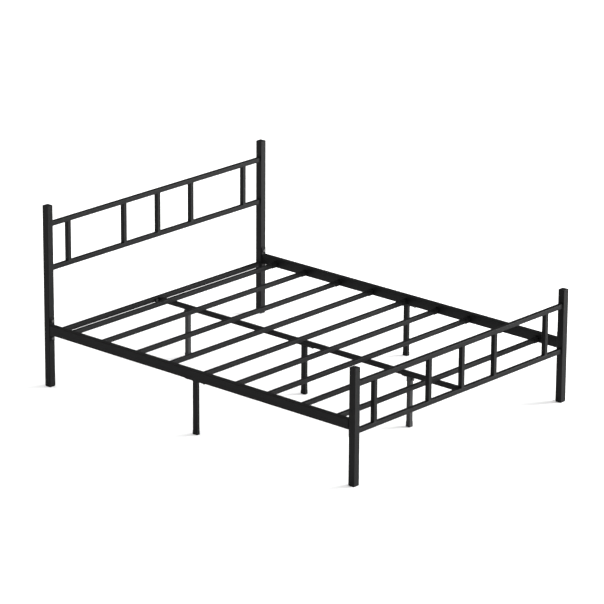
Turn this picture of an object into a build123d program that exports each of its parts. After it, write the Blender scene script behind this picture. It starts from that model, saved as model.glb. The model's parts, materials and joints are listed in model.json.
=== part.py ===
from build123d import *
import os

# Steel bed frame for one double mattress, a bolted flat-pack kit of painted square tube.
# The origin is on the floor under the middle of the bed.
# X runs across the bed, Y runs from the foot to the head, and Z is up.

# ---------------------------------------------------------------- driving dimensions

mattress_width = 1600
mattress_length = 2000
length_clearance = 60  # spare length between the mattress and the posts

tube_wall = 1.5
tube_corner = 2.0  # outer corner radius of every square or flat tube
post_size = 38
bar_size = 24  # bars, spindles, cross rail, centre beam and its two end legs share one tube
slat_size = 23
plain_leg_width = 20
plain_leg_depth = 30  # along the bed
rail_width = 30
rail_height = 52

head_height = 986
foot_height = 612
rail_top = 342
beam_top = 294
head_bar_levels = (643.5, 882)
foot_bar_levels = (280.5, 525)
cross_rail_level = 284
spindle_places = (-666.5, -255, 0, 255, 666.5)

# Slats from head to foot. The fifth lies across the middle of the bed.
slat_places = (932, 717, 471, 237, 0, -218, -434, -660, -893)

# Slat holders: moulded sleeves, pegged into the inner wall of each side rail.
holder_length = 33
holder_size = 27
holder_end_wall = 5
slat_clearance = 0.15
peg_diameter = 6
peg_length = 10
peg_spacing = 14

# Rail end plates, welded to the rails and bolted to the posts.
rail_plate_width = 30
rail_plate_height = 130
rail_plate_thickness = 4
rail_bolt_rise = 47  # from the middle of the rail up and down to its bolts
plate_corner = 4

# Beam end plates, welded to the beam and bolted to the cross rail and the footboard.
beam_plate_width = 72
beam_plate_thickness = 3
beam_bolt_offset = 24

# Adjustable legs near the ends of the beam, with sockets, clamp screws and levelling feet.
beam_leg_places = {"head": 829, "foot": -715}
socket_size = 27.5
socket_height = 25
socket_plate = 3  # the roof of the socket, which goes on toward the middle of the bed as a tab
socket_tab_reach = 48
socket_tab_bolt = 34
clamp_depth = 13  # from the beam down to the clamp screw
clamp_boss_diameter = 14
clamp_boss_reach = 18
clamp_head_start = 18.5
clamp_head_length = 6

cup_height = 28
cup_size = 27
cup_floor = 4
cup_bottom_chamfer = 1
level_gap = 0.3  # running clearance of the parts that move
level_stud_diameter = 10
level_stud_top = 44
level_stud_base = 1.5
level_key_hole = 7  # lets a hexagon key through the floor of the cup into the stud
level_key_width = 5
level_key_depth = 6
level_insert_length = 15

# Plain legs: one under the middle of the beam, one under the middle of each rail.
leg_plate_length = 140
leg_plate_width = 25
leg_plate_thickness = 3
leg_plate_bolts = (-57, 57)
leg_cap_wall = 1
leg_cap_height = 20
leg_cap_floor = 3

# Plastic end pieces of the four posts.
cap_flange = 3
cap_plug_depth = 15
foot_flange = 5
foot_plug_depth = 20
foot_inset = 1  # the foot plug's flange is this much narrower than the post, each side
plug_clearance = 0.1
plug_corner = 1.0

# One size of bolt and one size of threaded insert hold the whole kit together.
bolt_diameter = 8
bolt_length = 16
bolt_head_width = 13
bolt_head_height = 5.3
bolt_clearance_hole = 8.6
insert_diameter = 11
insert_length = 14
insert_bore = 8.2
insert_bulge_diameter = 13.5
insert_bulge_length = 3

# ---------------------------------------------------------------- derived sizes

bed_width = mattress_width + 2 * rail_width
bed_length = mattress_length + length_clearance + 2 * post_size
post_x = (bed_width - post_size) / 2
post_y = (bed_length - post_size) / 2
post_face_y = bed_length / 2 - post_size
bar_face_y = post_y - bar_size / 2

rail_x = (bed_width - rail_width) / 2
rail_face_x = mattress_width / 2
rail_middle = rail_top - rail_height / 2
rail_bottom = rail_top - rail_height
rail_length = 2 * (post_face_y - rail_plate_thickness)

beam_middle = beam_top - bar_size / 2
beam_bottom = beam_top - bar_size
beam_length = 2 * (bar_face_y - beam_plate_thickness)
slat_middle = beam_top + slat_size / 2
slat_length = 2 * (rail_face_x - holder_end_wall)
beam_leg_bottom = cup_floor + level_gap
beam_leg_top = beam_bottom - socket_plate

SIDES = {"left": -1, "right": 1}
ENDS = {"head": 1, "foot": -1}
CORNERS = [(side * post_x, end * post_y) for side in SIDES.values() for end in ENDS.values()]
CUT_DEPTH = 2 * tube_wall  # a cut this deep opens one wall of a tube and no more


def finish(builder, name):
    """Label a finished piece and write it under its own name."""
    builder.part.label = name
    export_step(builder.part, f"parts/{name}.step")


def tube_section(width, height):
    """Draw the hollow section of a tube in the open sketch."""
    RectangleRounded(width, height, tube_corner)
    inner_width = width - 2 * tube_wall
    inner_height = height - 2 * tube_wall
    RectangleRounded(inner_width, inner_height, tube_corner - tube_wall, mode=Mode.SUBTRACT)


def plane_at_y(y):
    """Upright plane across the bed at y. Its sketch has X to the right and Z up, and faces -Y."""
    return Plane.XZ.offset(-y)


os.makedirs("parts", exist_ok=True)

# ---------------------------------------------------------------- headboard and footboard

for end_name, end in ENDS.items():
    board = f"{end_name}board"
    height = head_height if end_name == "head" else foot_height
    lower_level, upper_level = head_bar_levels if end_name == "head" else foot_bar_levels

    for side_name, side in SIDES.items():
        with BuildPart() as post:
            with BuildSketch(Plane.XY.offset(foot_flange)):
                with Locations((side * post_x, end * post_y)):
                    tube_section(post_size, post_size)
            extrude(amount=height - foot_flange - cap_flange)
            with BuildSketch(plane_at_y(end * post_face_y)):
                with Locations((side * post_x, rail_middle)):
                    with GridLocations(0, 2 * rail_bolt_rise, 1, 2):
                        Circle(insert_diameter / 2)
            extrude(amount=CUT_DEPTH, both=True, mode=Mode.SUBTRACT)
        finish(post, f"{board}_post_{side_name}")

    for bar_name, level in (("bottom", lower_level), ("top", upper_level)):
        with BuildPart() as bar:
            with BuildSketch(Plane.YZ):
                with Locations((end * post_y, level)):
                    tube_section(bar_size, bar_size)
            extrude(amount=post_x - post_size / 2, both=True)
            if end_name == "foot" and bar_name == "bottom":
                with BuildSketch(plane_at_y(end * bar_face_y)):
                    with Locations((0, beam_middle)):
                        with GridLocations(2 * beam_bolt_offset, 0, 2, 1):
                            Circle(insert_diameter / 2)
                extrude(amount=CUT_DEPTH, both=True, mode=Mode.SUBTRACT)
        finish(bar, f"{board}_{bar_name}_bar")

    for number, place in enumerate(spindle_places, start=1):
        with BuildPart() as spindle:
            with BuildSketch(Plane.XY.offset(lower_level + bar_size / 2)):
                with Locations((place, end * post_y)):
                    tube_section(bar_size, bar_size)
            extrude(amount=upper_level - lower_level - bar_size)
        finish(spindle, f"{board}_spindle_{number}")

# The cross rail joins the headboard posts behind the beam and takes its head end.
with BuildPart() as cross_rail:
    with BuildSketch(Plane.YZ):
        with Locations((post_y, cross_rail_level)):
            tube_section(bar_size, bar_size)
    extrude(amount=post_x - post_size / 2, both=True)
    with BuildSketch(plane_at_y(bar_face_y)):
        with Locations((0, beam_middle)):
            with GridLocations(2 * beam_bolt_offset, 0, 2, 1):
                Circle(insert_diameter / 2)
    extrude(amount=CUT_DEPTH, both=True, mode=Mode.SUBTRACT)
finish(cross_rail, "headboard_cross_rail")

# ---------------------------------------------------------------- side rails and end plates

for side_name, side in SIDES.items():
    with BuildPart() as side_rail:
        with BuildSketch(Plane.XZ):
            with Locations((side * rail_x, rail_middle)):
                tube_section(rail_width, rail_height)
        extrude(amount=rail_length / 2, both=True)
        with BuildSketch(Plane.YZ.offset(side * rail_face_x)):
            for place in slat_places:
                with Locations((place, slat_middle)):
                    with GridLocations(peg_spacing, 0, 2, 1):
                        Circle(peg_diameter / 2)
        extrude(amount=CUT_DEPTH, both=True, mode=Mode.SUBTRACT)
        with BuildSketch(Plane.XY.offset(rail_bottom)):
            with Locations(*[(side * rail_x, place) for place in leg_plate_bolts]):
                Circle(insert_diameter / 2)
        extrude(amount=CUT_DEPTH, both=True, mode=Mode.SUBTRACT)
    finish(side_rail, f"side_rail_{side_name}")

    for end_name, end in ENDS.items():
        with BuildPart() as rail_plate:
            with BuildSketch(plane_at_y(end * post_face_y)):
                with Locations((side * post_x, rail_middle)):
                    RectangleRounded(rail_plate_width, rail_plate_height, plate_corner)
                    with GridLocations(0, 2 * rail_bolt_rise, 1, 2):
                        Circle(bolt_clearance_hole / 2, mode=Mode.SUBTRACT)
            extrude(amount=end * rail_plate_thickness)
        finish(rail_plate, f"rail_plate_{end_name}_{side_name}")

# ---------------------------------------------------------------- slats and their holders

for number, place in enumerate(slat_places, start=1):
    with BuildPart() as slat:
        with BuildSketch(Plane.YZ):
            with Locations((place, slat_middle)):
                tube_section(slat_size, slat_size)
        extrude(amount=slat_length / 2, both=True)
    finish(slat, f"slat_{number}")

pocket_size = slat_size + 2 * slat_clearance
for side_name, side in SIDES.items():
    holder_centres = [(place, slat_middle) for place in slat_places]
    with BuildPart() as holders:
        with BuildSketch(Plane.YZ.offset(side * (rail_face_x - holder_length))):
            with Locations(*holder_centres):
                RectangleRounded(holder_size, holder_size, 3)
        extrude(amount=side * holder_length)
        mouth_edges = holders.edges().group_by(Axis.X)[0 if side > 0 else -1]
        chamfer(mouth_edges, 0.8)
        with BuildSketch(Plane.YZ.offset(side * (rail_face_x - holder_length))):
            with Locations(*holder_centres):
                Rectangle(pocket_size, pocket_size)
        extrude(amount=side * (holder_length - holder_end_wall), mode=Mode.SUBTRACT)
        with BuildSketch(Plane.YZ.offset(side * rail_face_x)):
            for centre in holder_centres:
                with Locations(centre):
                    with GridLocations(peg_spacing, 0, 2, 1):
                        Circle(peg_diameter / 2 - plug_clearance)
        extrude(amount=side * peg_length)
    finish(holders, f"slat_holders_{side_name}")

# ---------------------------------------------------------------- centre beam

socket_bolt_places = []
for end_name, place in beam_leg_places.items():
    socket_bolt_places += [place, place - ENDS[end_name] * socket_tab_bolt]

with BuildPart() as centre_beam:
    with BuildSketch(Plane.XZ):
        with Locations((0, beam_middle)):
            tube_section(bar_size, bar_size)
    extrude(amount=beam_length / 2, both=True)
    with BuildSketch(Plane.XY.offset(beam_bottom)):
        with Locations(*[(0, place) for place in (*socket_bolt_places, *leg_plate_bolts)]):
            Circle(insert_diameter / 2)
    extrude(amount=CUT_DEPTH, both=True, mode=Mode.SUBTRACT)
finish(centre_beam, "centre_beam")

for end_name, end in ENDS.items():
    with BuildPart() as beam_plate:
        with BuildSketch(plane_at_y(end * bar_face_y)):
            with Locations((0, beam_middle)):
                RectangleRounded(beam_plate_width, bar_size, plate_corner)
                with GridLocations(2 * beam_bolt_offset, 0, 2, 1):
                    Circle(bolt_clearance_hole / 2, mode=Mode.SUBTRACT)
        extrude(amount=end * beam_plate_thickness)
    finish(beam_plate, f"beam_plate_{end_name}")

# ---------------------------------------------------------------- adjustable legs on the beam

clamp_level = beam_bottom - clamp_depth
tube_bore = bar_size - 2 * tube_wall

for end_name, place in beam_leg_places.items():
    end = ENDS[end_name]
    socket_bore = bar_size + 2 * plug_clearance

    with BuildPart() as socket:
        with BuildSketch(Plane.XY.offset(beam_bottom)):
            with Locations((0, place)):
                RectangleRounded(socket_size, socket_size, tube_corner + 1)
        extrude(amount=-socket_height)
        with BuildSketch(plane_at_y(place)):
            with Locations((0, clamp_level)):
                Circle(clamp_boss_diameter / 2)
        extrude(amount=-end * clamp_boss_reach)
        with BuildSketch(Plane.XY.offset(beam_bottom)):
            with Locations((0, place)):
                RectangleRounded(bar_size, 2 * socket_tab_reach, plate_corner)
            with Locations((0, place + end * socket_tab_reach / 2)):
                Rectangle(bar_size, socket_tab_reach, mode=Mode.SUBTRACT)
        extrude(amount=-socket_plate)
        with BuildSketch(Plane.XY.offset(beam_bottom - socket_plate)):
            with Locations((0, place)):
                RectangleRounded(socket_bore, socket_bore, tube_corner)
        extrude(amount=-socket_height, mode=Mode.SUBTRACT)
        with BuildSketch(Plane.XY.offset(beam_bottom)):
            with Locations((0, place), (0, place - end * socket_tab_bolt)):
                Circle(bolt_clearance_hole / 2)
        extrude(amount=-socket_plate, mode=Mode.SUBTRACT)
        with BuildSketch(plane_at_y(place)):
            with Locations((0, clamp_level)):
                Circle(insert_bore / 2)
        extrude(amount=-end * clamp_boss_reach, mode=Mode.SUBTRACT)
    finish(socket, f"leg_socket_{end_name}")

    with BuildPart() as beam_leg:
        with BuildSketch(Plane.XY.offset(beam_leg_bottom)):
            with Locations((0, place)):
                tube_section(bar_size, bar_size)
        extrude(amount=beam_leg_top - beam_leg_bottom)
    finish(beam_leg, f"centre_leg_{end_name}")

    cup_bore = bar_size + 2 * level_gap
    with BuildPart() as cup:
        with BuildSketch():
            with Locations((0, place)):
                RectangleRounded(cup_size, cup_size, tube_corner + 1)
        extrude(amount=cup_height)
        chamfer(cup.edges().group_by(Axis.Z)[0], cup_bottom_chamfer)
        with BuildSketch(Plane.XY.offset(cup_floor)):
            with Locations((0, place)):
                RectangleRounded(cup_bore, cup_bore, tube_corner)
        extrude(amount=cup_height, mode=Mode.SUBTRACT)
        with BuildSketch(Plane.XY.offset(level_stud_base)):
            with Locations((0, place)):
                Circle(level_stud_diameter / 2)
        extrude(amount=cup_height, mode=Mode.SUBTRACT)
        with BuildSketch():
            with Locations((0, place)):
                Circle(level_key_hole / 2)
        extrude(amount=level_stud_base, mode=Mode.SUBTRACT)
    finish(cup, f"leveller_cup_{end_name}")

    with BuildPart() as level_stud:
        with BuildSketch(Plane.XY.offset(level_stud_base)):
            with Locations((0, place)):
                Circle(level_stud_diameter / 2)
        extrude(amount=level_stud_top - level_stud_base)
        chamfer(level_stud.edges().sort_by(Axis.Z)[-1], 1.0)
        with BuildSketch(Plane.XY.offset(level_stud_base)):
            with Locations((0, place)):
                RegularPolygon(level_key_width / 2, 6, major_radius=False)
        extrude(amount=level_key_depth, mode=Mode.SUBTRACT)
    finish(level_stud, f"leveller_stud_{end_name}")

with BuildPart() as leg_inserts:
    with BuildSketch(Plane.XY.offset(beam_leg_bottom)):
        with Locations(*[(0, place) for place in beam_leg_places.values()]):
            RectangleRounded(tube_bore, tube_bore, tube_corner - tube_wall)
            Circle(level_stud_diameter / 2 + level_gap, mode=Mode.SUBTRACT)
    extrude(amount=level_insert_length)
finish(leg_inserts, "leg_thread_inserts")

with BuildPart() as clamp_screws:
    for end_name, place in beam_leg_places.items():
        end = ENDS[end_name]
        with BuildSketch(plane_at_y(place + end * bar_size / 2)):
            with Locations((0, clamp_level)):
                Circle(bolt_diameter / 2)
        extrude(amount=-end * (clamp_head_start - bar_size / 2))
        with BuildSketch(plane_at_y(place + end * clamp_head_start)):
            with Locations((0, clamp_level)):
                RegularPolygon(bolt_head_width / 2, 6, major_radius=False)
        extrude(amount=-end * clamp_head_length)
finish(clamp_screws, "leg_clamp_screws")

# ---------------------------------------------------------------- plain legs

plain_leg_centres = [(0, 0), (-rail_x, 0), (rail_x, 0)]

with BuildPart() as middle_leg:
    with BuildSketch(Plane.XY.offset(leg_cap_floor)):
        tube_section(plain_leg_width, plain_leg_depth)
    extrude(amount=beam_bottom - leg_plate_thickness - leg_cap_floor)
finish(middle_leg, "centre_leg_middle")

for side_name, side in SIDES.items():
    with BuildPart() as side_leg:
        with BuildSketch(Plane.XY.offset(leg_cap_floor)):
            with Locations((side * rail_x, 0)):
                tube_section(plain_leg_width, plain_leg_depth)
        extrude(amount=rail_bottom - leg_plate_thickness - leg_cap_floor)
    finish(side_leg, f"side_leg_{side_name}")

with BuildPart() as leg_plates:
    for x, tube_bottom in ((0, beam_bottom), (-rail_x, rail_bottom), (rail_x, rail_bottom)):
        with BuildSketch(Plane.XY.offset(tube_bottom)):
            with Locations((x, 0)):
                RectangleRounded(leg_plate_width, leg_plate_length, plate_corner)
            with Locations(*[(x, place) for place in leg_plate_bolts]):
                Circle(bolt_clearance_hole / 2, mode=Mode.SUBTRACT)
        extrude(amount=-leg_plate_thickness)
finish(leg_plates, "leg_plates")

cap_bore_width = plain_leg_width + 2 * plug_clearance
cap_bore_depth = plain_leg_depth + 2 * plug_clearance
with BuildPart() as leg_caps:
    with BuildSketch():
        with Locations(*plain_leg_centres):
            cap_width = cap_bore_width + 2 * leg_cap_wall
            cap_depth = cap_bore_depth + 2 * leg_cap_wall
            RectangleRounded(cap_width, cap_depth, tube_corner + 1)
    extrude(amount=leg_cap_height)
    chamfer(leg_caps.edges().group_by(Axis.Z)[0], 1.5)
    with BuildSketch(Plane.XY.offset(leg_cap_floor)):
        with Locations(*plain_leg_centres):
            RectangleRounded(cap_bore_width, cap_bore_depth, tube_corner)
    extrude(amount=leg_cap_height, mode=Mode.SUBTRACT)
finish(leg_caps, "leg_caps")

# ---------------------------------------------------------------- end pieces of the posts

plug_size = post_size - 2 * tube_wall - 2 * plug_clearance
post_tops = [
    (side * post_x, end * post_y, head_height if end > 0 else foot_height)
    for side in SIDES.values()
    for end in ENDS.values()
]

with BuildPart() as post_caps:
    for x, y, top in post_tops:
        with BuildSketch(Plane.XY.offset(top)):
            with Locations((x, y)):
                RectangleRounded(post_size, post_size, tube_corner)
        extrude(amount=-cap_flange)
        with BuildSketch(Plane.XY.offset(top - cap_flange)):
            with Locations((x, y)):
                RectangleRounded(plug_size, plug_size, plug_corner)
        extrude(amount=-cap_plug_depth)
    top_rims = [
        edge
        for edge in post_caps.edges().filter_by_position(Axis.Z, foot_height, head_height)
        if edge.center().Z in (foot_height, head_height)
    ]
    chamfer(top_rims, 1.2)
finish(post_caps, "post_caps")

with BuildPart() as post_feet:
    with BuildSketch():
        with Locations(*CORNERS):
            foot_size = post_size - 2 * foot_inset
            RectangleRounded(foot_size, foot_size, tube_corner)
    extrude(amount=foot_flange)
    chamfer(post_feet.edges().group_by(Axis.Z)[0], 1.5)
    with BuildSketch(Plane.XY.offset(foot_flange)):
        with Locations(*CORNERS):
            RectangleRounded(plug_size, plug_size, plug_corner)
    extrude(amount=foot_plug_depth)
finish(post_feet, "post_feet")

# ---------------------------------------------------------------- bolts and threaded inserts

# Each joint is the point where a bolt's axis meets the tube, the way its head faces,
# and the thickness of the plate under the head.
joints = []
for end in ENDS.values():
    toward_middle = Vector(0, -end, 0)
    for side in SIDES.values():
        for rise in (-rail_bolt_rise, rail_bolt_rise):
            rail_joint = Vector(side * post_x, end * post_face_y, rail_middle + rise)
            joints.append((rail_joint, toward_middle, rail_plate_thickness))
        beam_joint = Vector(side * beam_bolt_offset, end * bar_face_y, beam_middle)
        joints.append((beam_joint, toward_middle, beam_plate_thickness))
down = Vector(0, 0, -1)
for place in socket_bolt_places:
    joints.append((Vector(0, place, beam_bottom), down, socket_plate))
for place in leg_plate_bolts:
    joints.append((Vector(0, place, beam_bottom), down, leg_plate_thickness))
for side in SIDES.values():
    for place in leg_plate_bolts:
        joints.append((Vector(side * rail_x, place, rail_bottom), down, leg_plate_thickness))

# One bolt and one insert, each drawn with its head or mouth facing +Z.
with BuildPart() as one_bolt:
    with BuildSketch():
        RegularPolygon(bolt_head_width / 2, 6, major_radius=False)
    extrude(amount=bolt_head_height)
    chamfer(one_bolt.edges().group_by(Axis.Z)[-1], 0.8)
    with BuildSketch():
        Circle(bolt_diameter / 2)
    extrude(amount=-bolt_length)

with BuildPart() as one_insert:
    with BuildSketch():
        Circle(insert_diameter / 2)
    extrude(amount=-insert_length)
    with BuildSketch(Plane.XY.offset(-tube_wall)):
        Circle(insert_bulge_diameter / 2)
    extrude(amount=-insert_bulge_length)
    with BuildSketch():
        Circle(insert_bore / 2)
    extrude(amount=-insert_length, mode=Mode.SUBTRACT)

with BuildPart() as frame_bolts:
    with Locations(*[Plane(point + facing * plate, z_dir=facing) for point, facing, plate in joints]):
        add(one_bolt.part)
finish(frame_bolts, "frame_bolts")

with BuildPart() as threaded_inserts:
    with Locations(*[Plane(point, z_dir=facing) for point, facing, plate in joints]):
        add(one_insert.part)
finish(threaded_inserts, "threaded_inserts")
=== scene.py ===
import json
import math

import bpy
from mathutils import Matrix, Vector


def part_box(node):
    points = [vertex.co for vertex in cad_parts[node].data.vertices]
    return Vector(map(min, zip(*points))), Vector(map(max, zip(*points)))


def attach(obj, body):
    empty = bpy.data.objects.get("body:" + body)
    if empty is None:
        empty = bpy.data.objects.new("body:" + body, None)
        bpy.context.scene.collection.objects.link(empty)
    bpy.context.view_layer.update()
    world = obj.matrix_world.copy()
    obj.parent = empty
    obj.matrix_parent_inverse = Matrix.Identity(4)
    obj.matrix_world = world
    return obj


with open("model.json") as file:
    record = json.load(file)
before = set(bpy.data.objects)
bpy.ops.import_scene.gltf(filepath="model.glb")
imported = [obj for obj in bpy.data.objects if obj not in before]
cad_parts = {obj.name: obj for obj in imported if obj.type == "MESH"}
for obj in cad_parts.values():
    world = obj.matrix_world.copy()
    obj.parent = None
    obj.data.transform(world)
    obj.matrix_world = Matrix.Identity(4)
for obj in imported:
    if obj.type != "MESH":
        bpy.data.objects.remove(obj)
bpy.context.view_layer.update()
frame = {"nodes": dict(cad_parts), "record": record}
MM = 0.001

# ---------------------------------------------------------------- node helpers

NOISE_CORE = (0.3, 0.7)  # most values of a noise texture lie between these
EDGE_DOT = (0.86, 0.995)  # rounded normal against real one, on a sharp edge and on a flat face
UPRIGHT_LEAN = 0.3  # a face whose normal rises less than this gathers no dust


def new_material(name):
    """A new material, its node tree and the one Principled shader in it."""
    material = bpy.data.materials.new(name)
    material.use_nodes = True
    tree = material.node_tree
    tree.nodes.clear()
    output = tree.nodes.new("ShaderNodeOutputMaterial")
    shader = tree.nodes.new("ShaderNodeBsdfPrincipled")
    tree.links.new(shader.outputs["BSDF"], output.inputs["Surface"])
    return material, tree, shader


def coordinates(tree, scale=(1, 1, 1)):
    """Positions on the object, in metres, multiplied by scale."""
    source = tree.nodes.new("ShaderNodeTexCoord")
    mapping = tree.nodes.new("ShaderNodeMapping")
    mapping.inputs["Scale"].default_value = scale
    tree.links.new(source.outputs["Object"], mapping.inputs["Vector"])
    return mapping.outputs["Vector"]


def noise(tree, vector, size, detail=3.0, roughness=0.5):
    """Noise whose features are about size metres across, from 0 to 1."""
    node = tree.nodes.new("ShaderNodeTexNoise")
    node.inputs["Scale"].default_value = 1 / size
    node.inputs["Detail"].default_value = detail
    node.inputs["Roughness"].default_value = roughness
    tree.links.new(vector, node.inputs["Vector"])
    return node.outputs["Fac"]


def spread(tree, value, low, high, start=0.0, end=1.0):
    """Map value from start..end to low..high, and clamp it."""
    node = tree.nodes.new("ShaderNodeMapRange")
    node.inputs["From Min"].default_value = start
    node.inputs["From Max"].default_value = end
    node.inputs["To Min"].default_value = low
    node.inputs["To Max"].default_value = high
    tree.links.new(value, node.inputs["Value"])
    return node.outputs["Result"]


def calculate(tree, operation, first, second):
    """One Math node. second is a socket or a number."""
    node = tree.nodes.new("ShaderNodeMath")
    node.operation = operation
    tree.links.new(first, node.inputs[0])
    if isinstance(second, (int, float)):
        node.inputs[1].default_value = second
    else:
        tree.links.new(second, node.inputs[1])
    return node.outputs["Value"]


def blend_colours(tree, factor, first, second):
    """Mix two colours. Each is a socket or an RGB tuple."""
    node = tree.nodes.new("ShaderNodeMix")
    node.data_type = "RGBA"
    tree.links.new(factor, node.inputs["Factor"])
    sockets = [s for s in node.inputs if s.type == "RGBA"]
    for socket, colour in zip(sockets, (first, second)):
        if isinstance(colour, tuple):
            socket.default_value = (*colour, 1)
        else:
            tree.links.new(colour, socket)
    return next(s for s in node.outputs if s.type == "RGBA")


def bump(tree, height, depth, strength, under=None):
    """Surface relief, depth metres deep, on top of the relief in under."""
    node = tree.nodes.new("ShaderNodeBump")
    node.inputs["Distance"].default_value = depth
    node.inputs["Strength"].default_value = strength
    tree.links.new(height, node.inputs["Height"])
    if under is not None:
        tree.links.new(under, node.inputs["Normal"])
    return node.outputs["Normal"]


def edge_mask(tree, radius):
    """1 on sharp edges and 0 on flat faces, by how far a rounded normal leaves the real one."""
    rounded = tree.nodes.new("ShaderNodeBevel")
    rounded.samples = 4
    rounded.inputs["Radius"].default_value = radius
    geometry = tree.nodes.new("ShaderNodeNewGeometry")
    dot = tree.nodes.new("ShaderNodeVectorMath")
    dot.operation = "DOT_PRODUCT"
    tree.links.new(rounded.outputs["Normal"], dot.inputs[0])
    tree.links.new(geometry.outputs["True Normal"], dot.inputs[1])
    return spread(tree, dot.outputs["Value"], 1.0, 0.0, *EDGE_DOT)


def upward(tree):
    """1 on faces that look up, 0 on upright faces and below."""
    geometry = tree.nodes.new("ShaderNodeNewGeometry")
    split = tree.nodes.new("ShaderNodeSeparateXYZ")
    tree.links.new(geometry.outputs["True Normal"], split.inputs["Vector"])
    return spread(tree, split.outputs["Z"], 0.0, 1.0, UPRIGHT_LEAN, 1.0)


def grey(tone, blue=0.0):
    """A grey of the given tone, with a little more in its blue."""
    return (tone, tone, tone + blue)


def set_roughness(tree, shader, patches, low, high, grain, swing):
    """Roughness from low to high over the patches, give or take swing over the grain."""
    broad = spread(tree, patches, low, high, *NOISE_CORE)
    fine = spread(tree, grain, -swing, swing)
    tree.links.new(calculate(tree, "ADD", broad, fine), shader.inputs["Roughness"])


# ---------------------------------------------------------------- materials


def powder_coat(name, tone, specular):
    """Satin powder coat: fine orange peel, cloudy gloss, thin film on the edges, dust on top.

    tone is the grey of the coat in its darker clouds.
    """
    material, tree, shader = new_material(name)
    place = coordinates(tree)
    clouds = noise(tree, place, size=160 * MM, detail=4.0)
    grain = noise(tree, place, size=1.1 * MM, detail=2.0, roughness=0.6)
    peel = noise(tree, place, size=4.5 * MM, detail=2.0)
    specks = noise(tree, place, size=2.8 * MM, detail=1.0, roughness=0.4)

    darker = grey(tone, blue=0.05 * tone)
    lighter = grey(1.4 * tone, blue=0.05 * tone)
    fleck = grey(2.3 * tone, blue=0.05 * tone)
    bared = grey(0.035, blue=0.001)
    dust = (0.06, 0.058, 0.055)
    coat = blend_colours(tree, clouds, darker, lighter)
    coat = blend_colours(tree, spread(tree, specks, 0.0, 0.5, 0.66, 0.74), coat, fleck)
    wear = spread(tree, clouds, 0.15, 0.9, 0.35, 0.7)
    worn = calculate(tree, "MULTIPLY", edge_mask(tree, 0.9 * MM), wear)
    coat = blend_colours(tree, calculate(tree, "MULTIPLY", worn, 0.5), coat, bared)
    settled = spread(tree, clouds, 0.05, 0.30, *NOISE_CORE)
    dusty = calculate(tree, "MULTIPLY", upward(tree), settled)
    coat = blend_colours(tree, calculate(tree, "MULTIPLY", dusty, 0.12), coat, dust)
    tree.links.new(coat, shader.inputs["Base Color"])

    set_roughness(tree, shader, clouds, 0.40, 0.50, grain, swing=0.05)
    relief = bump(tree, peel, depth=0.22 * MM, strength=0.5)
    relief = bump(tree, grain, depth=0.09 * MM, strength=0.6, under=relief)
    tree.links.new(relief, shader.inputs["Normal"])
    shader.inputs["Specular IOR Level"].default_value = specular
    return material


def moulded_plastic(name, tone, specular):
    """Matt polypropylene: fine spark-eroded grain, faint flow clouds, rubbed edges.

    tone is the grey of the plastic in its darker clouds.
    """
    material, tree, shader = new_material(name)
    place = coordinates(tree)
    flow = noise(tree, coordinates(tree, (1, 1, 0.35)), size=20 * MM, detail=3.0)
    grain = noise(tree, place, size=0.6 * MM, detail=2.0, roughness=0.7)

    darker = grey(tone, blue=0.05 * tone)
    lighter = grey(1.5 * tone, blue=0.05 * tone)
    bared = grey(tone + 0.0175)
    body = blend_colours(tree, flow, darker, lighter)
    wear = spread(tree, flow, 0.1, 0.7, *NOISE_CORE)
    rubbed = calculate(tree, "MULTIPLY", edge_mask(tree, 0.7 * MM), wear)
    body = blend_colours(tree, rubbed, body, bared)
    tree.links.new(body, shader.inputs["Base Color"])

    set_roughness(tree, shader, flow, 0.56, 0.66, grain, swing=0.06)
    relief = bump(tree, grain, depth=0.05 * MM, strength=0.5)
    tree.links.new(relief, shader.inputs["Normal"])
    shader.inputs["Specular IOR Level"].default_value = specular
    return material


def zinc_finish(name, tints, rubbed, rubbing, metallic, gloss, patches, marks):
    """Zinc finish on small steel parts: fine turning marks, dull patches, rubbed edges.

    tints are the colours of the two kinds of patch. rubbed is the tone of the bare edges and
    rubbing how much of it shows. gloss is the lowest and the highest roughness. patches is the
    size and the detail of the patches, and marks the size of the turning marks and how much
    closer together they are along Z.
    """
    material, tree, shader = new_material(name)
    patch_size, patch_detail = patches
    mark_size, squeeze = marks
    dull = noise(tree, coordinates(tree), patch_size, patch_detail, roughness=0.6)
    turned = noise(tree, coordinates(tree, (1, 1, squeeze)), mark_size, detail=2.0)

    plate = blend_colours(tree, spread(tree, dull, 0, 1, *NOISE_CORE), *tints)
    worn = calculate(tree, "MULTIPLY", edge_mask(tree, 0.5 * MM), rubbing)
    plate = blend_colours(tree, worn, plate, grey(rubbed))
    tree.links.new(plate, shader.inputs["Base Color"])
    shader.inputs["Metallic"].default_value = metallic

    set_roughness(tree, shader, dull, *gloss, turned, swing=0.05)
    relief = bump(tree, turned, depth=0.03 * MM, strength=0.4)
    tree.links.new(relief, shader.inputs["Normal"])
    return material


def plated_steel():
    """Bright zinc with a faint passivate tint."""
    return zinc_finish(
        "zinc_plated_steel",
        tints=((0.30, 0.31, 0.33), (0.42, 0.41, 0.37)),
        rubbed=0.62,
        rubbing=0.6,
        metallic=1.0,
        gloss=(0.30, 0.48),
        patches=(6.0 * MM, 4.0),
        marks=(1.6 * MM, 9),
    )


def blackened_bolts():
    """Black zinc: nearly black, satin, rubbed brighter where a spanner bears."""
    return zinc_finish(
        "black_zinc_screws",
        tints=((0.070, 0.070, 0.073), (0.105, 0.102, 0.095)),
        rubbed=0.20,
        rubbing=0.4,
        metallic=0.8,
        gloss=(0.38, 0.52),
        patches=(4.0 * MM, 3.0),
        marks=(1.4 * MM, 6),
    )


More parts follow.
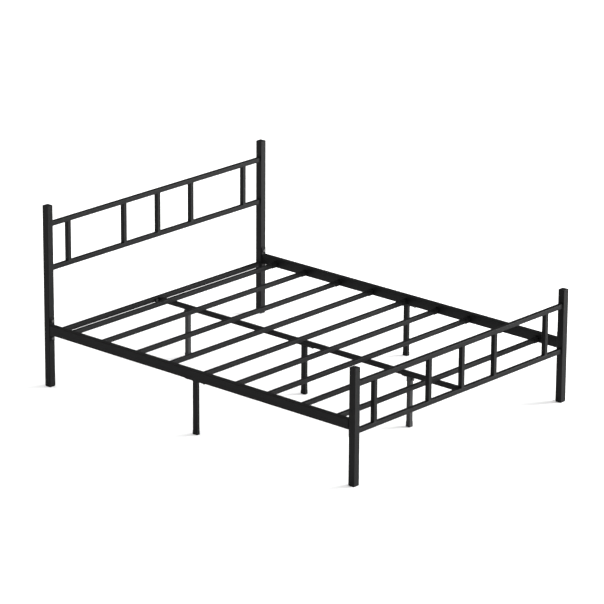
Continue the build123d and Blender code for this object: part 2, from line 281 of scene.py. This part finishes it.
def studio_floor():
    """Pale matt sweep with a barely visible mottle."""
    material, tree, shader = new_material("pale_studio_floor")
    mottle = noise(tree, coordinates(tree), size=0.9, detail=2.0)
    sweep = blend_colours(tree, mottle, grey(0.92), grey(0.94))
    tree.links.new(sweep, shader.inputs["Base Color"])
    shader.inputs["Roughness"].default_value = 0.9
    shader.inputs["Specular IOR Level"].default_value = 0.1
    return material


MATERIALS = {
    "frame_paint": powder_coat("satin_black_powder_coat", 0.0046, 0.08),
    # The legs in this slot get the frame's powder coat at four times its tone. This is painted
    # light: a lighter copy of one paint that stands in for their brighter lit side.
    "leg_paint": powder_coat("painted_lit_powder_coat", 0.0190, 0.18),
    "black_plastic": moulded_plastic("matt_black_plastic", 0.0045, 0.10),
    # The plastic parts in this slot get the black plastic at nearly five times its tone. This is
    # painted light: a lighter copy that goes with the lighter leg paint.
    "charcoal_plastic": moulded_plastic("painted_lit_matt_plastic", 0.0210, 0.18),
    "black_bolts": blackened_bolts(),
    "plated_steel": plated_steel(),
}
for entry in frame["record"]["subparts"]:
    node_object = frame["nodes"][entry["node"]]
    for material_slot in node_object.material_slots:
        material_slot.material = MATERIALS[entry["material_slot"]]

# ---------------------------------------------------------------- weld beads

WELD_LEG = 2.6 * MM  # how far a fillet weld reaches along each of the two faces it joins
WELD_ROOT = 0.4 * MM  # how far its hidden side reaches into the metal
RIPPLE = 2.4 * MM  # spacing of the puddles that a welder leaves
RIPPLE_SWELL = 0.13  # how much of its leg a bead gains and loses over one puddle
JITTER = 0.07  # how much it gains and loses unevenly from one cross-section to the next
JITTER_SHIFT = 5.3 * MM  # the stretch of bead over which the jitter's phase moves on by 1 radian
END_SIZE = 0.35  # how much of its leg is left at the very end of an open bead
END_TAPER = 0.5  # ripples over which an open bead grows to full size
BEAD_CROWN = ((0.78, 0.36), (0.52, 0.66), (0.24, 0.86))  # its rounded face, as shares of its leg
SAMPLES_PER_RIPPLE = 6
TUBE_CORNER = 2.0 * MM  # the radius a bead turns at round a tube, and its gap from a face's edge
CORNER_STEPS = 4


class BeadMesh:
    """Collects the weld beads of one group of joints into one object."""

    def __init__(self, name):
        self.name = name
        self.points = []
        self.faces = []

    def sweep(self, path, closed):
        """Lay one bead.

        path holds tuples: point on the root line, direction away from the tube, up the tube.
        """
        first = len(self.points)
        count = len(path)
        length = 0.0
        for index, (point, outward, along_tube) in enumerate(path):
            if index > 0:
                length += (point - path[index - 1][0]).length
            puddle = 1 + RIPPLE_SWELL * math.cos(2 * math.pi * length / RIPPLE)
            jitter = 1 + JITTER * math.sin(length / JITTER_SHIFT + len(self.points))
            taper = 1.0
            if not closed:
                edge = min(index, count - 1 - index) / (SAMPLES_PER_RIPPLE * END_TAPER)
                taper = END_SIZE + (1 - END_SIZE) * math.sin(min(edge, 1.0) * math.pi / 2)
            leg = WELD_LEG * puddle * jitter * taper
            profile = (
                (leg, -WELD_ROOT),
                (leg, 0.0),
                *((out * leg, up * leg) for out, up in BEAD_CROWN),
                (0.0, leg),
                (-WELD_ROOT, leg),
                (-WELD_ROOT, -WELD_ROOT),
            )
            self.points.extend(point + outward * out + along_tube * up for out, up in profile)
        sides = len(profile)
        steps = count if closed else count - 1
        for step in range(steps):
            here = first + step * sides
            there = first + ((step + 1) % count) * sides
            for side in range(sides):
                after = (side + 1) % sides
                self.faces.append((here + side, here + after, there + after, there + side))
        if not closed:
            last = first + (count - 1) * sides
            self.faces.append(tuple(first + side for side in reversed(range(sides))))
            self.faces.append(tuple(last + side for side in range(sides)))

    def line(self, start, end, outward, along_tube):
        """One straight bead from start to end along a tube's face."""
        run = end - start
        steps = max(2, round(run.length / RIPPLE)) * SAMPLES_PER_RIPPLE
        path = [(start + run * (i / steps), outward, along_tube) for i in range(steps + 1)]
        self.sweep(path, closed=False)

    def ring(self, centre, across, upward_axis, width, height, along_tube):
        """One bead all the way round the end of a square tube."""
        half_width = width / 2 - TUBE_CORNER
        half_height = height / 2 - TUBE_CORNER
        pivots = [
            centre + across * right * half_width + upward_axis * top * half_height
            for right, top in ((1, 1), (-1, 1), (-1, -1), (1, -1))
        ]
        path = []
        for number, pivot in enumerate(pivots):
            for i in range(CORNER_STEPS + 1):
                angle = math.radians(90 * number + 90 * i / CORNER_STEPS)
                outward = across * math.cos(angle) + upward_axis * math.sin(angle)
                path.append((pivot + outward * TUBE_CORNER, outward, along_tube))
            next_pivot = pivots[(number + 1) % len(pivots)]
            start, outward, _ = path[-1]
            run = next_pivot + outward * TUBE_CORNER - start
            steps = round(run.length / RIPPLE) * SAMPLES_PER_RIPPLE
            path.extend((start + run * (i / steps), outward, along_tube) for i in range(1, steps))
        self.sweep(path, closed=True)

    def build(self):
        """Make the object, dress it in the frame's paint and let it ride on the frame."""
        mesh = bpy.data.meshes.new(self.name)
        mesh.from_pydata([tuple(p) for p in self.points], [], self.faces)
        mesh.validate()
        mesh.update()
        mesh.polygons.foreach_set("use_smooth", [True] * len(mesh.polygons))
        bead = bpy.data.objects.new(self.name, mesh)
        bpy.context.scene.collection.objects.link(bead)
        bead.data.materials.append(MATERIALS["frame_paint"])
        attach(bead, "bed_frame")


X = Vector((1, 0, 0))
Y = Vector((0, 1, 0))
Z = Vector((0, 0, 1))


def middle(low, high):
    """The middle of a box from its two corners."""
    return (Vector(low) + Vector(high)) / 2


def weld_tube_ends_x(beads, node):
    """Weld both ends of a tube that runs along X to the posts beside it."""
    low, high = map(Vector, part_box(node))
    centre = middle(low, high)
    for end_x, inward in ((low.x, X), (high.x, -X)):
        place = Vector((end_x, centre.y, centre.z))
        beads.ring(place, Y, Z, high.y - low.y, high.z - low.z, inward)


def weld_spindle(beads, node):
    """Weld both ends of an upright spindle to its bars, on the two sides where a bead has room."""
    low, high = map(Vector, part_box(node))
    for end_z, inward in ((low.z, Z), (high.z, -Z)):
        for side_x, outward in ((low.x, -X), (high.x, X)):
            start = Vector((side_x, low.y + TUBE_CORNER, end_z))
            end = Vector((side_x, high.y - TUBE_CORNER, end_z))
            beads.line(start, end, outward, inward)


def plated_end(tube, plate):
    """Where a tube that runs along Y meets its end plate, and the way from there into the tube."""
    low, high = map(Vector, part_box(tube))
    if middle(*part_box(plate)).y > 0:
        return high.y, -Y
    return low.y, Y


def weld_rail_end(beads, rail, plate):
    """Weld a side rail to its end plate along the top, the underside and the inner face."""
    low, high = map(Vector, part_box(rail))
    plate_low, plate_high = map(Vector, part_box(plate))
    face_y, inward = plated_end(rail, plate)
    left = max(low.x, plate_low.x) + TUBE_CORNER
    right = min(high.x, plate_high.x) - TUBE_CORNER
    for level, outward in ((low.z, -Z), (high.z, Z)):
        start = Vector((left, face_y, level))
        end = Vector((right, face_y, level))
        beads.line(start, end, outward, inward)
    inner_x, outward = (low.x, -X) if low.x > 0 else (high.x, X)
    bottom = Vector((inner_x, face_y, low.z + TUBE_CORNER))
    top = Vector((inner_x, face_y, high.z - TUBE_CORNER))
    beads.line(bottom, top, outward, inward)


def weld_beam_end(beads, plate):
    """Weld the centre beam to its end plate along both upright faces."""
    low, high = map(Vector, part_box("centre_beam"))
    face_y, inward = plated_end("centre_beam", plate)
    for side_x, outward in ((low.x, -X), (high.x, X)):
        bottom = Vector((side_x, face_y, low.z + TUBE_CORNER))
        top = Vector((side_x, face_y, high.z - TUBE_CORNER))
        beads.line(bottom, top, outward, inward)


def weld_leg_top(beads, leg):
    """Weld a plain leg to the plate on top of it, on the two sides where the plate reaches out."""
    low, high = map(Vector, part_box(leg))
    for side_y, outward in ((low.y, -Y), (high.y, Y)):
        start = Vector((low.x + TUBE_CORNER, side_y, high.z))
        end = Vector((high.x - TUBE_CORNER, side_y, high.z))
        beads.line(start, end, outward, -Z)


for board in ("headboard", "footboard"):
    board_beads = BeadMesh(f"{board}_welds")
    tubes = [node for node in frame["nodes"] if node.startswith(board)]
    for node in sorted(tubes):
        if node.endswith(("_bar", "_rail")):
            weld_tube_ends_x(board_beads, node)
        elif "_spindle_" in node:
            weld_spindle(board_beads, node)
    board_beads.build()

rail_beads = BeadMesh("rail_welds")
for side in ("left", "right"):
    for end in ("head", "foot"):
        weld_rail_end(rail_beads, f"side_rail_{side}", f"rail_plate_{end}_{side}")
for end in ("head", "foot"):
    weld_beam_end(rail_beads, f"beam_plate_{end}")
rail_beads.build()

leg_beads = BeadMesh("leg_welds")
for leg in ("centre_leg_middle", "side_leg_left", "side_leg_right"):
    weld_leg_top(leg_beads, leg)
leg_beads.build()

# ---------------------------------------------------------------- floor, light and camera

FLOOR_SIZE = 60.0
AIR_STRENGTH = 0.09  # faint light from all round

bpy.ops.mesh.primitive_plane_add(size=FLOOR_SIZE, location=(0, 0, 0))
floor = bpy.context.active_object
floor.name = "studio_floor"
floor.data.materials.append(studio_floor())

bed_middle = Vector((0, 0, 0.3))  # lamps and camera are placed from here


def place_lamp(name, kind, turn, rise, distance, strength):
    """A lamp aimed at the bed. turn is measured round the bed from +X towards +Y, in degrees."""
    turn = math.radians(turn)
    rise = math.radians(rise)
    level = Vector((math.cos(turn), math.sin(turn), 0))
    away = level * math.cos(rise) + Z * math.sin(rise)
    data = bpy.data.lights.new(name, kind)
    data.energy = strength
    lamp = bpy.data.objects.new(name, data)
    lamp.location = bed_middle + away * distance
    lamp.rotation_euler = away.to_track_quat("Z", "Y").to_euler()
    bpy.context.scene.collection.objects.link(lamp)
    return lamp


def place_softbox(name, turn, rise, distance, strength, width, height):
    """A rectangular lamp aimed at the bed."""
    lamp = place_lamp(name, "AREA", turn, rise, distance, strength)
    lamp.data.shape = "RECTANGLE"
    lamp.data.size = width
    lamp.data.size_y = height


place_softbox("key_softbox", turn=-34, rise=12, distance=16.0, strength=6600, width=6.0, height=4.0)
place_softbox("back_softbox", turn=88, rise=10, distance=16.0, strength=1600, width=8.0, height=4.0)
# A sun this wide lights softly from above. It stays out of reflections.
overhead = place_lamp("overhead_softbox", "SUN", turn=-90, rise=80, distance=6.0, strength=3.2)
overhead.data.angle = math.radians(60)
overhead.visible_glossy = False

world = bpy.data.worlds.new("studio_air")
world.use_nodes = True
air = world.node_tree.nodes["Background"]
air.inputs["Color"].default_value = (1, 1, 1, 1)
air.inputs["Strength"].default_value = AIR_STRENGTH
bpy.context.scene.world = world
bpy.context.scene.view_settings.view_transform = "Standard"

# The camera stands past the foot end on the left, a long way off with a long lens.
VIEW_TURN = math.radians(-48.24)  # from straight in front of the foot end, towards the left side
VIEW_RISE = math.radians(18.64)
VIEW_ROLL = math.radians(0.35)
VIEW_DISTANCE = 19.757
LENS = 228.1  # millimetres, on a sensor 36 mm wide
AIM_RIGHT = -0.0130  # the view's middle, measured from the bed's middle in the picture plane
AIM_UP = 0.1910

away = Vector(
    (
        math.sin(VIEW_TURN) * math.cos(VIEW_RISE),
        -math.cos(VIEW_TURN) * math.cos(VIEW_RISE),
        math.sin(VIEW_RISE),
    )
)
level_right = Vector((math.cos(VIEW_TURN), math.sin(VIEW_TURN), 0))
level_up = away.cross(level_right)
right = level_right * math.cos(VIEW_ROLL) + level_up * math.sin(VIEW_ROLL)
up = level_up * math.cos(VIEW_ROLL) - level_right * math.sin(VIEW_ROLL)

camera_data = bpy.data.cameras.new("camera")
camera_data.lens = LENS
camera_data.sensor_width = 36.0
camera_data.clip_end = 200.0
camera = bpy.data.objects.new("camera", camera_data)
bpy.context.scene.collection.objects.link(camera)
position = bed_middle + right * AIM_RIGHT + up * AIM_UP + away * VIEW_DISTANCE
camera.matrix_world = Matrix.Translation(position) @ Matrix((right, up, away)).transposed().to_4x4()
bpy.context.scene.camera = camera
